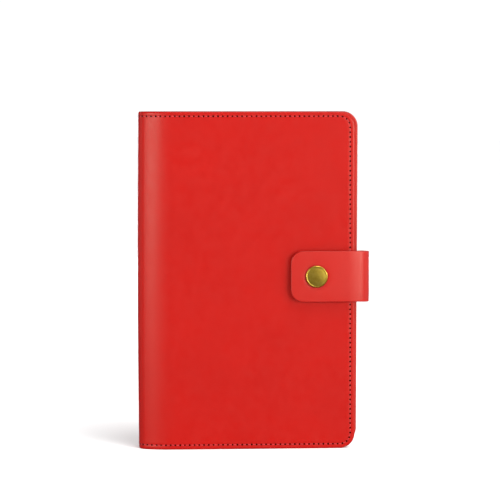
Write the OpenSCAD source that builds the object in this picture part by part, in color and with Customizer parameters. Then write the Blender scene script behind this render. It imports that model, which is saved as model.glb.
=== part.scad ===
// Leather notebook cover with a snap strap, closed round a hardback notebook.
// It stands on its bottom edge: +Z up, the front cover faces -Y, the spine is on the -X side.
// The modules work in book coordinates: x runs from the spine's outer face to the fore-edge,
// y is 0 halfway through the closed book, and z is 0 at the bottom edge.

/* [Cover] */
// Height of the cover
cover_h = 222; // [190:1:260]
// Width of the front cover, from the spine's outer face to the fore-edge
front_w = 142; // [130:1:170]
// How much further the back cover reaches than the front cover
back_overhang = 4; // [2:0.5:5]
// Thickness of the closed cover, outer face to outer face
closed_t = 26; // [25:0.5:32]
// Radius of the two fore-edge corners
corner_r = 10; // [8:0.5:14]
// Thickness of the outer leather
leather_t = 1.6; // [1.2:0.1:2]
// Thickness of the lining
lining_t = 0.6; // [0.4:0.1:0.8]

/* [Spine] */
// Width of the rounded shoulder on each side of the spine
shoulder_w = 23; // [18:1:26]
// Half the width of the flat down the middle of the spine
flat_half = 3.5; // [2:0.5:5]
// Angle that the wide arc of a shoulder turns through before the tight one
shoulder_turn = 20; // [12:1:26]

/* [Seams] */
// Distance from the cover's edge to the middle of the seam
seam_inset = 3; // [2.5:0.1:4]
// Width of a row of thread
thread_w = 0.7; // [0.5:0.1:1]
// Depth of the groove that the outer thread lies in
groove_depth = 0.4; // [0.3:0.1:0.6]

/* [Pockets] */
// Thickness of the pocket leather
pocket_t = 0.9; // [0.7:0.1:1.1]
// Width of the flat edge by which a pocket is sewn down
pocket_flange = 5; // [4:0.5:6]
// Width of the front pocket
front_pocket_w = 106; // [100:1:110]
// Width of the back pocket
back_pocket_w = 76; // [50:1:100]
// Thickness of a card slot's leather
slot_t = 0.8; // [0.6:0.1:0.8]
// Width of the card slots
slot_w = 92; // [90:1:94]
// Height of the taller card slot's panel
upper_slot_h = 72; // [60:1:90]
// Height of the shorter card slot's panel
lower_slot_h = 46; // [30:1:56]

/* [Notebook] */
// Thickness of a notebook board
board_t = 2; // [1.6:0.1:2.1]
// How far the boards stand out past the pages
board_square = 3; // [2:0.5:4]
// Play round a board in its pocket
board_fit = 0.4; // [0.3:0.1:0.6]

/* [Strap] */
// Width of the strap
strap_w = 33.6; // [24:0.2:40]
// Thickness of the strap leather
strap_t = 1.6; // [1.2:0.1:2]
// Height of the strap's middle above the bottom edge
strap_z = 114.2; // [90:0.2:130]
// Distance from the spine's outer face to the strap's free end
strap_end_x = 99.6; // [80:0.2:106]
// How far the strap stands out past the back cover's fore-edge
strap_reach = 5.5; // [5.5:0.5:10]
// Gap between the front cover and the strap, which the snap fills
strap_gap = 2.6; // [2.6:0.1:3.2]
// Radius of the strap's free corners
strap_corner_r = 8.3; // [4:0.1:12]
// Outer radius of the strap's bend at the front
front_bend_r = 11.5; // [9:0.5:12]
// Outer radius of the strap's bend at the back
back_bend_r = 5; // [3:0.5:5]

/* [Snap] */
// Distance from the spine's outer face to the snap's axis
snap_x = 116.5; // [112:0.1:120]
// Diameter of the cap over its rim
cap_d = 14.5; // [12:0.1:16]
// Height of the cap's dome above the strap
cap_h = 1.6; // [1.4:0.1:2]

/* [Hidden] */
$fn = 96;
eps = 0.05;
half_t = closed_t / 2;
back_w = front_w + back_overhang;

// The shoulder is two arcs that meet tangentially: a wide one from the cover's face, then a tight
// one into the flat of the spine. Their radii follow from the shoulder's width and depth.
turn_s = sin(shoulder_turn);
turn_c = cos(shoulder_turn);
shoulder_d = half_t - flat_half;
wide_r = (shoulder_w - (1 - turn_s) * shoulder_d / turn_c)
         / (turn_s - (1 - turn_s) * (1 - turn_c) / turn_c);
tight_r = (shoulder_d - (1 - turn_c) * wide_r) / turn_c;
fold_a = 225;
wide_a = 270 - shoulder_turn;
arc_steps = 6;
groove_w = thread_w + 0.1;

// Depths of the layers, counted inwards from a cover's outer face
lining_d = leather_t;
inside_d = leather_t + lining_t;
board_d = inside_d + 0.25;
paste_d = board_d + board_t;
paper_t = 0.15;
panel_d = paste_d + paper_t + 0.1;
slot_d = panel_d + pocket_t;
block_front_d = slot_d + 2 * slot_t + 0.3;
block_back_d = slot_d + 0.3;
hinge_strip_t = 0.8;
spine_strip_t = 1;

// The notebook inside its pockets
board_inset = pocket_flange + pocket_t + board_fit;
block_inset = board_inset + board_square;
block_x1 = front_w - block_inset - 1;
block_y0 = block_front_d - half_t;
block_y1 = half_t - block_back_d;
block_mid_y = (block_y0 + block_y1) / 2;
block_half = (block_y1 - block_y0) / 2;
block_x0 = 9;
block_round = 4.4;
block_round_r = (block_round * block_round + block_half * block_half) / (2 * block_round);
endpaper_x0 = shoulder_w + 1;
headband_r = 0.7;
headband_x = 8;
slot_z0 = 20;
slot_x1 = front_w - pocket_flange - 5;
slot_corner_r = 3;

// The strap: root in the back cover's edge, back bend, straight side, front bend, flap
strap_out_x = back_w + strap_reach;
strap_root_len = 14;
root_fit = 0.3;
edge_gap = 0.15;
strap_back_y = half_t - leather_t - lining_t / 2 + strap_t / 2;
strap_front_y = -half_t - strap_gap - strap_t;
back_bend_x = strap_out_x - back_bend_r;
back_bend_y = strap_back_y - back_bend_r;
front_bend_x = strap_out_x - front_bend_r;
front_bend_y = strap_front_y + front_bend_r;
strap_z0 = strap_z - strap_w / 2;
strap_z1 = strap_z + strap_w / 2;

// The snap: cap, shank, socket and spring ring on the strap, stud and post on the front cover
cap_edge_h = 0.8;
bead_r = 0.55;
bead_path_r = cap_d / 2 - bead_r;
dome_r = 22;
shank_r = 1.8;
socket_r = 5.2;
socket_base_h = 0.4;
socket_wall_r = 3.9;
socket_bore_r = 3.2;
socket_mouth_r = 2.6;
socket_h = 1.9;
socket_lip_h = 0.4;
spring_path_r = 2.85;
spring_wire_r = 0.28;
stud_flange_h = 0.5;
stud_neck_r = 1.9;
stud_neck_h = 1.3;
stud_head_r = 2.2;
stud_h = 2.1;
post_r = 1;
post_flange_r = 4.5;
post_flange_h = 0.3;
post_h = 1.6;
hole_fit = 0.1;

// The origin is the middle of the whole part's footprint
mid_x = strap_out_x / 2;
mid_y = (half_t + strap_front_y - cap_h) / 2;

// Book coordinates to the part's own frame
module seat() {
    translate([-mid_x, -mid_y, 0]) children();
}

// A shape for the front side, turned over to the back side
module on_back() {
    mirror([0, 1, 0]) children();
}

// Outline in x and z that is square on the spine side and rounded at the fore-edge
module outline(x0, w, inset) {
    r = max(corner_r - inset, 1);
    x1 = w - inset;
    translate([x0, inset]) square([x1 - r - x0, cover_h - 2 * inset]);
    translate([x0, inset + r]) square([x1 - x0, cover_h - 2 * inset - 2 * r]);
    for (z = [inset + r, cover_h - inset - r]) translate([x1 - r, z]) circle(r);
}

// A rectangle in x and z with all four corners rounded
module rounded_panel(x0, x1, z0, z1, r) {
    translate([x0 + r, z0]) square([x1 - x0 - 2 * r, z1 - z0]);
    translate([x0, z0 + r]) square([x1 - x0, z1 - z0 - 2 * r]);
    for (x = [x0 + r, x1 - r], z = [z0 + r, z1 - r]) translate([x, z]) circle(r);
}

// An x and z outline made solid between two depths below the front cover's outer face
module layer(d0, d1) {
    translate([0, d1 - half_t, 0]) rotate([90, 0, 0]) linear_extrude(d1 - d0) children();
}

// Points along an arc in plan
function arc(x, y, r, a0, a1, n) =
    [for (i = [0:n]) let(a = a0 + (a1 - a0) * i / n) [x + r * cos(a), y + r * sin(a)]];

// The same points, last first
function reversed(line) = [for (i = [len(line) - 1:-1:0]) line[i]];

// All the points but the first
function rest(line) = [for (i = [1:len(line) - 1]) line[i]];

// The front cover's share of the shoulder's curve at depth d: tight arc, then wide arc
function shoulder_line(d) = concat(
    arc(tight_r, -flat_half, tight_r - d, fold_a, wide_a, arc_steps),
    rest(arc(shoulder_w, wide_r - half_t, wide_r - d, wide_a, 270, arc_steps)));

// The spine's curve at depth d: tight arc, flat, tight arc
function spine_line(d) = concat(
    arc(tight_r, -flat_half, tight_r - d, fold_a, 180, arc_steps),
    arc(tight_r, flat_half, tight_r - d, 180, 360 - fold_a, arc_steps));

// The strap's two bends at depth d below its outer face, from angle a0 to a1
function back_bend(d, a0, a1) = arc(back_bend_x, back_bend_y, back_bend_r - d, a0, a1, arc_steps);
function front_bend(d, a0, a1) = arc(front_bend_x, front_bend_y, front_bend_r - d, a0, a1, arc_steps);

// An upright wall between two curves in plan
module wall(outer, inner, z0, z1) {
    translate([0, 0, z0]) linear_extrude(z1 - z0) polygon(concat(outer, reversed(inner)));
}

// The front cover's share of a shoulder, between two depths
module shoulder(d0, d1, z0, z1) {
    wall(shoulder_line(d0), shoulder_line(d1), z0, z1);
}

// The spine, between two depths
module spine_wall(d0, d1, z0, z1) {
    wall(spine_line(d0), spine_line(d1), z0, z1);
}

// A whole cover side in one layer: flat panel and shoulder
module cover_layer(w, d0, d1) {
    layer(d0, d1) outline(shoulder_w, w, 0);
    shoulder(d0, d1, 0, cover_h);
}

// The lower ends of the two straight seam rows, top and bottom
function row_z(width) = [seam_inset - width / 2, cover_h - seam_inset - width / 2];

// Outline of a seam along three edges of a flat panel
module seam_outline(x0, w, width) {
    difference() {
        outline(x0, w, seam_inset - width / 2);
        translate([-eps, 0]) outline(x0, w + eps, seam_inset + width / 2);
    }
}

// Seam rows along the top and bottom edges of a shoulder
module seam_shoulder(d0, d1, width) {
    for (z = row_z(width)) shoulder(d0, d1, z, z + width);
}

// Seam rows along the top and bottom edges of the spine
module seam_spine(d0, d1, width) {
    for (z = row_z(width)) spine_wall(d0, d1, z, z + width);
}

// Seam rows on the lining between the shoulder and a pocket
module seam_rows(x0, x1, d0, d1) {
    for (z = row_z(thread_w)) layer(d0, d1) translate([x0, z]) square([x1 - x0, thread_w]);
}

// Outer leather of one side with its seam groove, less any hole outlines given as children
module leather_side(w) {
    layer(0, groove_depth) difference() {
        outline(shoulder_w, w, 0);
        seam_outline(shoulder_w, w, groove_w);
        children();
    }
    layer(groove_depth, leather_t) difference() {
        outline(shoulder_w, w, 0);
        children();
    }
    difference() {
        shoulder(0, leather_t, 0, cover_h);
        seam_shoulder(-eps, groove_depth, groove_w);
    }
}

// Thread of one side: outside in the groove, inside on the lining and on the pocket's flange
module thread_side(w, pocket_w) {
    inner_h = 0.25;
    pocket_x = w - pocket_w;
    layer(eps, groove_depth) seam_outline(shoulder_w, w, thread_w);
    seam_shoulder(eps, groove_depth, thread_w);
    seam_shoulder(inside_d, inside_d + inner_h, thread_w);
    seam_rows(shoulder_w, pocket_x, inside_d, inside_d + inner_h);
    layer(inside_d + pocket_t, inside_d + pocket_t + inner_h) seam_outline(pocket_x, w, thread_w);
}

// Pocket: flat flange on the lining, a step up over the board's edge, and the panel
module pocket_side(w, pocket_w) {
    x0 = w - pocket_w;
    difference() {
        union() {
            layer(inside_d, inside_d + pocket_t) outline(x0, w, 0);
            layer(inside_d, slot_d) outline(x0, w, pocket_flange);
        }
        layer(inside_d - eps, panel_d) outline(x0 - eps, w, pocket_flange + pocket_t);
    }
}

// One side of the notebook's case: stiff board and the thin strip that bends at the spine
module case_side() {
    layer(board_d, paste_d) outline(shoulder_w, front_w, board_inset);
    shoulder(board_d, board_d + hinge_strip_t, board_inset, cover_h - board_inset);
}

// Paper glued to the inside of a board
module pastedown() {
    layer(paste_d, paste_d + paper_t)
        translate([endpaper_x0, block_inset])
            square([block_x1 - endpaper_x0, cover_h - 2 * block_inset]);
}

module back_cover() {
    color("firebrick") seat() on_back() leather_side(back_w);
}

module back_lining() {
    color("darkred") seat() on_back() difference() {
        cover_layer(back_w, lining_d, inside_d);
        translate([back_w - strap_root_len - root_fit, -half_t + lining_d - eps,
                   strap_z0 - root_fit])
            cube([strap_root_len + 1, lining_t + 2 * eps, strap_w + 2 * root_fit]);
    }
}

module back_pocket() {
    color("firebrick") seat() on_back() pocket_side(back_w, back_pocket_w);
}

module back_stitching() {
    color("indianred") seat() on_back() thread_side(back_w, back_pocket_w);
}

module strap_root() {
    edge_x = back_w + edge_gap;
    inner_y = strap_back_y - strap_t;
    outer = concat([[edge_x, strap_back_y]], back_bend(0, 90, 45));
    inner = concat([[edge_x, inner_y]], back_bend(strap_t, 90, 45));
    color("firebrick") seat() {
        translate([back_w - strap_root_len, half_t - inside_d, strap_z0])
            cube([strap_root_len + edge_gap, lining_t, strap_w]);
        wall(outer, inner, strap_z0, strap_z1);
    }
}

module notebook_back_board() {
    color("black") seat() on_back() case_side();
}

module back_endpaper() {
    fold_t = 0.3;
    color("ivory") seat() on_back() {
        pastedown();
        layer(block_back_d - paper_t, block_back_d)
            translate([endpaper_x0, block_inset])
                square([block_x1 - endpaper_x0, cover_h - 2 * block_inset]);
        layer(paste_d, block_back_d)
            translate([endpaper_x0, block_inset]) square([fold_t, cover_h - 2 * block_inset]);
    }
}

module page_block() {
    color("ivory") seat()
        translate([0, 0, block_inset]) linear_extrude(cover_h - 2 * block_inset) {
            translate([block_x0, block_y0]) square([block_x1 - block_x0, block_y1 - block_y0]);
            intersection() {
                translate([block_x0 - block_round + block_round_r, block_mid_y])
                    circle(block_round_r);
                translate([block_x0 - block_round - 1, block_y0])
                    square([block_round + 1 + eps, block_y1 - block_y0]);
            }
        }
}

module headbands() {
    len = block_y1 - block_y0 - 2;
    color("darkred") seat()
        for (z = [block_inset - headband_r, cover_h - block_inset + headband_r])
            translate([headband_x, block_mid_y, z])
                rotate([90, 0, 0]) cylinder(h = len, r = headband_r, center = true);
}

module spine_cover() {
    color("firebrick") seat() difference() {
        spine_wall(0, leather_t, 0, cover_h);
        seam_spine(-eps, groove_depth, groove_w);
    }
}

module spine_lining() {
    color("darkred") seat() spine_wall(lining_d, inside_d, 0, cover_h);
}

module spine_stitching() {
    color("indianred") seat() {
        seam_spine(eps, groove_depth, thread_w);
        seam_spine(inside_d, inside_d + 0.25, thread_w);
    }
}

module notebook_spine() {
    color("black") seat()
        spine_wall(board_d, board_d + spine_strip_t, board_inset, cover_h - board_inset);
}

module front_cover() {
    color("firebrick") seat()
        leather_side(front_w) translate([snap_x, strap_z]) circle(post_r + hole_fit);
}

module front_lining() {
    color("darkred") seat() difference() {
        cover_layer(front_w, lining_d, inside_d);
        translate([snap_x, lining_d + post_flange_h - half_t, strap_z])
            rotate([90, 0, 0]) cylinder(h = 1, r = post_flange_r + 2 * hole_fit);
    }
}

module front_pocket() {
    color("firebrick") seat() pocket_side(front_w, front_pocket_w);
}

module upper_card_slot() {
    color("firebrick") seat() layer(slot_d, slot_d + slot_t)
        rounded_panel(slot_x1 - slot_w, slot_x1, slot_z0, slot_z0 + upper_slot_h, slot_corner_r);
}

module lower_card_slot() {
    color("firebrick") seat() layer(slot_d + slot_t, slot_d + 2 * slot_t)
        rounded_panel(slot_x1 - slot_w, slot_x1, slot_z0, slot_z0 + lower_slot_h, slot_corner_r);
}

module front_stitching() {
    color("indianred") seat() thread_side(front_w, front_pocket_w);
}

module notebook_front_board() {
    color("black") seat() case_side();
}

module front_endpaper() {
    color("ivory") seat() pastedown();
}

module snap_stud() {
    color("goldenrod") seat()
        translate([snap_x, -half_t, strap_z]) rotate([90, 0, 0]) difference() {
            union() {
                cylinder(h = stud_flange_h, r = socket_r);
                cylinder(h = stud_h, r = stud_neck_r);
                translate([0, 0, stud_neck_h])
                    cylinder(h = stud_h - stud_neck_h, r = stud_head_r);
            }
            translate([0, 0, -1]) cylinder(h = 1 + post_h, r = post_r + eps);
        }
}

module snap_post() {
    color("goldenrod") seat()
        translate([snap_x, lining_d - half_t, strap_z]) rotate([90, 0, 0]) {
            translate([0, 0, -post_flange_h]) cylinder(h = post_flange_h, r = post_flange_r);
            cylinder(h = leather_t + post_h, r = post_r);
        }
}

module strap_side() {
    outer = concat(back_bend(0, 45, 0), front_bend(0, 0, -45));
    inner = concat(back_bend(strap_t, 45, 0), front_bend(strap_t, 0, -45));
    color("firebrick") seat() wall(outer, inner, strap_z0, strap_z1);
}

module strap_flap() {
    r = strap_corner_r;
    color("firebrick") seat() {
        wall(front_bend(0, -45, -90), front_bend(strap_t, -45, -90), strap_z0, strap_z1);
        layer(-strap_gap - strap_t, -strap_gap) difference() {
            union() {
                translate([strap_end_x + r, strap_z0])
                    square([front_bend_x - strap_end_x - r, strap_w]);
                translate([strap_end_x, strap_z0 + r]) square([2 * r, strap_w - 2 * r]);
                for (z = [strap_z0 + r, strap_z1 - r]) translate([strap_end_x + r, z]) circle(r);
            }
            translate([snap_x, strap_z]) circle(shank_r + hole_fit);
        }
    }
}

module snap_cap() {
    color("goldenrod") seat()
        translate([snap_x, strap_front_y, strap_z]) rotate([90, 0, 0]) {
            rotate_extrude() {
                square([bead_path_r + bead_r / 2, cap_edge_h]);
                translate([bead_path_r, cap_edge_h]) circle(bead_r, $fn = 32);
                intersection() {
                    translate([0, cap_h - dome_r]) circle(dome_r);
                    square([bead_path_r - bead_r, cap_h + 1]);
                }
            }
            translate([0, 0, -strap_t - socket_base_h])
                cylinder(h = strap_t + socket_base_h + eps, r = shank_r);
        }
}

module snap_socket() {
    color("goldenrod") seat()
        translate([snap_x, strap_front_y + strap_t, strap_z]) rotate([-90, 0, 0]) difference() {
            union() {
                cylinder(h = socket_base_h, r = socket_r);
                cylinder(h = socket_h, r = socket_wall_r);
            }
            translate([0, 0, -1]) cylinder(h = 2, r = shank_r + eps);
            translate([0, 0, socket_base_h])
                cylinder(h = socket_h - socket_base_h - socket_lip_h, r = socket_bore_r);
            translate([0, 0, socket_base_h]) cylinder(h = socket_h, r = socket_mouth_r);
        }
}

module snap_spring() {
    spring_h = (socket_h - socket_lip_h + socket_base_h) / 2;
    color("silver") seat()
        translate([snap_x, strap_front_y + strap_t + spring_h, strap_z]) rotate([-90, 0, 0])
            rotate_extrude() translate([spring_path_r, 0]) circle(spring_wire_r, $fn = 24);
}

back_cover();
back_lining();
back_pocket();
back_stitching();
strap_root();
notebook_back_board();
back_endpaper();
page_block();
headbands();
spine_cover();
spine_lining();
spine_stitching();
notebook_spine();
front_cover();
front_lining();
front_pocket();
upper_card_slot();
lower_card_slot();
front_stitching();
notebook_front_board();
front_endpaper();
snap_stud();
snap_post();
strap_side();
strap_flap();
snap_cap();
snap_socket();
snap_spring();
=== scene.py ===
"""The looks of a leather notebook cover with a snap strap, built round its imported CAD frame."""

import math
import random

import bmesh
import bpy
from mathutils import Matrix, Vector, noise


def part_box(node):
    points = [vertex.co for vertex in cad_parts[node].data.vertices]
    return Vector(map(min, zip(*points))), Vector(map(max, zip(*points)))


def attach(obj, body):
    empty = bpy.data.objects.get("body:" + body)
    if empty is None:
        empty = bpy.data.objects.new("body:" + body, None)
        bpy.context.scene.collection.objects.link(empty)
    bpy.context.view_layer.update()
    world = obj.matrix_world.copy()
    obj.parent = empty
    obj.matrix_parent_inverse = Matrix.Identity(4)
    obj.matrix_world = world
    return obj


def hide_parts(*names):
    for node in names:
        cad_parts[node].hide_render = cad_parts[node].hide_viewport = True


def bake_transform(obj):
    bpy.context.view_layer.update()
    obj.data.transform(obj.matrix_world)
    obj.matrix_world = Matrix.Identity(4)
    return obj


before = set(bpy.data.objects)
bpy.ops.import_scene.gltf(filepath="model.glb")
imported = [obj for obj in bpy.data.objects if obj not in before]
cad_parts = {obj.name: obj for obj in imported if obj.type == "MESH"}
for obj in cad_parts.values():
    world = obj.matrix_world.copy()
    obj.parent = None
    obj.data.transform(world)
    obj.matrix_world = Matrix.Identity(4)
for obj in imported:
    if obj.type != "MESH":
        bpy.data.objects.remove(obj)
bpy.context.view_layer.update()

MM = 0.001
TAU = 2 * math.pi
FRONT, BACK = 1, -1

# Where book coordinates start: the spine's outer face, the middle of the closed book, its bottom edge
front_lo, front_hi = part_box("front_cover")
_, back_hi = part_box("back_cover")
spine_lo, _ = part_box("spine_cover")
ORIGIN = Vector((spine_lo.x, (front_lo.y + back_hi.y) / 2, spine_lo.z))


def book_box(node):
    """A CAD node's lowest and highest corners in book coordinates, in millimetres."""
    lo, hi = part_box(node)
    return (lo - ORIGIN) / MM, (hi - ORIGIN) / MM


def depths(node):
    """How far a node on the front side starts and ends below the cover's outer face."""
    lo, hi = book_box(node)
    return lo.y + HALF_T, hi.y + HALF_T


# Sizes read from the frame, in millimetres
HEIGHT = (front_hi.z - front_lo.z) / MM
FRONT_W = (front_hi.x - ORIGIN.x) / MM
BACK_W = (back_hi.x - ORIGIN.x) / MM
HALF_T = (back_hi.y - front_lo.y) / MM / 2
LEATHER_T = depths("front_lining")[0]
INSIDE_D = depths("front_pocket")[0]
PANEL_BACK_D = depths("front_pocket")[1]
BOARD_D = depths("notebook_front_board")[0]
PAPER_D, PAPER_BACK_D = depths("front_endpaper")
board_lo, board_hi = book_box("notebook_front_board")
paper_lo, paper_hi = book_box("front_endpaper")
block_lo, block_hi = book_box("page_block")
flap_lo, flap_hi = book_box("strap_flap")
_, side_hi = book_box("strap_side")
root_lo, root_hi = book_box("strap_root")
cap_lo, cap_hi = book_box("snap_cap")
headband_lo, headband_hi = book_box("headbands")
SNAP_X = (cap_lo.x + cap_hi.x) / 2
SNAP_Z = (cap_lo.z + cap_hi.z) / 2
CAP_R = (cap_hi.x - cap_lo.x) / 2
BLOCK_MID_Y = (block_lo.y + block_hi.y) / 2
BLOCK_HALF_T = (block_hi.y - block_lo.y) / 2

# Driving dimensions of the design, in millimetres
CORNER_R = 10
SHOULDER_W = 23
FLAT_HALF = 3.5
SHOULDER_TURN = math.radians(20)
POCKET_T = 0.9
FLANGE_W = 5
SEAM_INSET = 3
SLOT_SEAM_INSET = 1.7
SLOT_CORNER_R = 3
STITCH_PITCH = 3.15
THREAD_R = 0.24
GROOVE_DEPTH = 0.12
BEVEL_W = 0.95
STRAP_T = 1.6
STRAP_CORNER_R = 8.3
FRONT_BEND_R = 9.2
LONG_PULL_R, LONG_PULL_TURN = 357, math.radians(2.5)
SHORT_PULL_R, SHORT_PULL_TURN = 41, math.radians(10)
BACK_BEND_R = 5
SIDE_BULGE = 0.45
STRAP_FALL = 1.9
STRAP_FOLD_REACH = 11.5
BLOCK_ROUND_D = 4.4


# ---- small maths ----

def smooth(t):
    """Rises from 0 to 1 as t goes from 0 to 1, level at both ends."""
    t = min(1.0, max(0.0, t))
    return t * t * (3 - 2 * t)


def bell(x, width):
    """1 at x = 0, fading over about that width."""
    return math.exp(-((x / width) ** 2))


def roll(d, r):
    """How far a surface drops where it rounds over an edge of radius r, at distance d from the edge."""
    return r - math.sqrt(r * r - (r - d) ** 2) if d < r else 0.0


def spread(a, b, step):
    """Even values from a to b, no further apart than step."""
    n = max(1, math.ceil(abs(b - a) / step - 1e-9))
    return [a + (b - a) * i / n for i in range(n + 1)]


def ripple(u, z, seed, size=45):
    """Slow unevenness of soft leather, from -1 to 1."""
    return noise.noise(Vector((u / size, z / size, seed * 7.3)))


def row_point(p):
    """Book millimetres to row metres."""
    return ORIGIN + Vector(p) * MM


class Plan:
    """A line made of straight runs and arcs. Its outward side is on the right."""

    def __init__(self, x, y, heading):
        self.runs = []
        self.length = 0.0
        self.tip = (x, y, heading)

    def run(self, length, turn=0.0):
        x, y, heading = self.tip
        self.runs.append((self.length, length, turn, x, y, heading))
        self.tip = self._along(self.runs[-1], length)
        self.length += length
        return self

    def bend(self, radius, turn):
        return self.run(radius * abs(turn), turn)

    @staticmethod
    def _along(run, distance):
        _, length, turn, x, y, heading = run
        if not turn:
            return x + distance * math.cos(heading), y + distance * math.sin(heading), heading
        bend = turn / length
        end = heading + bend * distance
        dx = (math.sin(end) - math.sin(heading)) / bend
        dy = (math.cos(heading) - math.cos(end)) / bend
        return x + dx, y + dy, end

    def at(self, u):
        """x, y and the outward normal at distance u along the line."""
        run = next((r for r in reversed(self.runs) if u >= r[0] - 1e-9), self.runs[0])
        x, y, heading = self._along(run, u - run[0])
        return x, y, math.sin(heading), -math.cos(heading)

    def samples(self, u0, u1, step):
        """Distances from u0 to u1, closer together where the line bends."""
        found = [u0]
        for start, length, turn, *_ in self.runs:
            a, b = max(u0, start), min(u1, start + length)
            if b - a > 1e-6:
                fine = min(step, 0.13 * length / abs(turn)) if turn else step
                found += spread(a, b, fine)[1:]
        return found


class Panel:
    """A flat cut of material in u and z as quads. Each point knows its distance from the cut edges.
    An end is open where it carries on into another piece, square, or round. Rings are distances
    from an edge, and the last one is also the corner radius of a round end."""

    def __init__(self, us, z0, z1, rings, start="open", end="round", z_step=3.2):
        self.u0, self.u1, self.z0, self.z1 = us[0], us[-1], z0, z1
        self.start, self.end, self.size = start, end, rings[-1]
        self.points, self.faces, self.found = [], [], {}
        inner0 = self.u0 if start == "open" else self.u0 + self.size
        inner1 = self.u1 if end == "open" else self.u1 - self.size
        columns = [u for u in us if inner0 + 0.3 < u < inner1 - 0.3]
        columns = [inner0] + columns + [inner1]
        if start != "open":
            columns = [self.u0 + d for d in rings[:-1]] + columns
        if end != "open":
            columns += [self.u1 - d for d in reversed(rings[:-1])]
        middle = spread(z0 + self.size, z1 - self.size, z_step)
        rows = [z0 + d for d in rings[:-1]] + middle + [z1 - d for d in reversed(rings[:-1])]
        self._cells(columns, rows)
        for which, sign in ((start, -1), (end, 1)):
            if which == "round":
                for up in (-1, 1):
                    self._corner(rings, sign, up)
        self.border = self._border()

    def _gaps(self, u, z):
        """How far a point is from the nearer long edge, and from each end with the end's kind."""
        near = min(z - self.z0, self.z1 - z)
        return near, ((u - self.u0, self.start), (self.u1 - u, self.end))

    def distance(self, u, z, with_start=True):
        near, gaps = self._gaps(u, z)
        found = near
        for gap, kind in gaps if with_start else gaps[1:]:
            if kind == "open":
                continue
            d = min(near, gap)
            if kind == "round" and gap < self.size and near < self.size:
                d = self.size - math.hypot(self.size - gap, self.size - near)
            found = min(found, d)
        return max(found, 0.0)

    def _point(self, u, z):
        key = (round(u, 4), round(z, 4))
        if key not in self.found:
            self.found[key] = len(self.points)
            self.points.append((u, z, self.distance(u, z)))
        return self.found[key]

    def _face(self, *corners):
        ring = []
        for i in (self._point(*c) for c in corners):
            if i not in ring:
                ring.append(i)
        if len(ring) > 2:
            self.faces.append(tuple(ring))

    def _in_round_corner(self, u, z):
        near, gaps = self._gaps(u, z)
        return any(k == "round" and g < self.size and near < self.size for g, k in gaps)

    def _cells(self, columns, rows):
        for u, v in zip(columns, columns[1:]):
            for z, w in zip(rows, rows[1:]):
                if not self._in_round_corner((u + v) / 2, (z + w) / 2):
                    self._face((u, z), (v, z), (v, w), (u, w))

    def _corner(self, rings, sign, up):
        cu = (self.u1 if sign > 0 else self.u0) - sign * self.size
        cz = (self.z1 if up > 0 else self.z0) - up * self.size

        def spot(d, a):
            r = self.size - d
            return cu + sign * r * math.cos(a), cz + up * r * math.sin(a)

        turns = spread(0, math.pi / 2, math.radians(7.5))
        for a, b in zip(turns, turns[1:]):
            for d, e in zip(rings, rings[1:]):
                self._face(spot(d, a), spot(d, b), spot(e, b), spot(e, a))

    def _border(self):
        uses = {}
        for face in self.faces:
            for a, b in zip(face, face[1:] + face[:1]):
                uses.setdefault((min(a, b), max(a, b)), []).append((a, b))
        return [u[0] for u in uses.values() if len(u) == 1]


# ---- mesh making ----

def clean(mesh, merge=False):
    """Turns a mesh's faces outward. With merge, it first joins points in the same place."""
    work = bmesh.new()
    work.from_mesh(mesh)
    if merge:
        bmesh.ops.remove_doubles(work, verts=work.verts, dist=1e-7)
    bmesh.ops.recalc_face_normals(work, faces=work.faces)
    work.to_mesh(mesh)
    work.free()


def add_piece(name, points, faces, *materials, edge=None, shade=None, sharp=38, which=None):
    """A mesh object from book coordinates. It keeps its resting place, its distance from the cut
    edge and a shade as attributes, which the materials read."""
    mesh = bpy.data.meshes.new(name)
    mesh.from_pydata([row_point(p) for p in points], [], faces)
    for label, values in (("edge", edge), ("shade", shade)):
        if values is not None:
            mesh.attributes.new(label, "FLOAT", "POINT").data.foreach_set("value", values)
    at_rest = mesh.attributes.new("rest_mm", "FLOAT_VECTOR", "POINT")
    at_rest.data.foreach_set("vector", [c for p in points for c in p])
    for material in materials:
        mesh.materials.append(material)
    if which is not None:
        mesh.polygons.foreach_set("material_index", which)
    mesh.polygons.foreach_set("use_smooth", [True] * len(mesh.polygons))
    clean(mesh)
    mesh.set_sharp_from_angle(angle=math.radians(sharp))
    obj = bpy.data.objects.new(name, mesh)
    bpy.context.scene.collection.objects.link(obj)
    return obj


def sheet_piece(name, panel, place, outer, inner, material, **more):
    """A closed sheet of material. place(u, z, depth) is a point, and outer and inner give the depths
    of its two faces at (u, z, d)."""
    n = len(panel.points)
    points = [place(u, z, outer(u, z, d)) for u, z, d in panel.points]
    points += [place(u, z, inner(u, z, d)) for u, z, d in panel.points]
    faces = panel.faces + [tuple(n + i for i in reversed(f)) for f in panel.faces]
    faces += [(b, a, n + a, n + b) for a, b in panel.border]
    edge = [d for *_, d in panel.points] * 2
    return add_piece(name, points, faces, material, edge=edge, **more)


class Heap:
    """Points and faces of many small shapes that become one piece."""

    def __init__(self):
        self.points, self.faces, self.shades, self.which = [], [], [], []

    def add(self, points, faces, shade=0.5, which=0):
        n = len(self.points)
        self.points += points
        self.faces += [tuple(n + i for i in f) for f in faces]
        self.shades += [shade] * len(points)
        self.which += [which] * len(faces)

    def piece(self, name, *materials, **more):
        return add_piece(name, self.points, self.faces, *materials,
                         shade=self.shades, which=self.which, **more)


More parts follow.
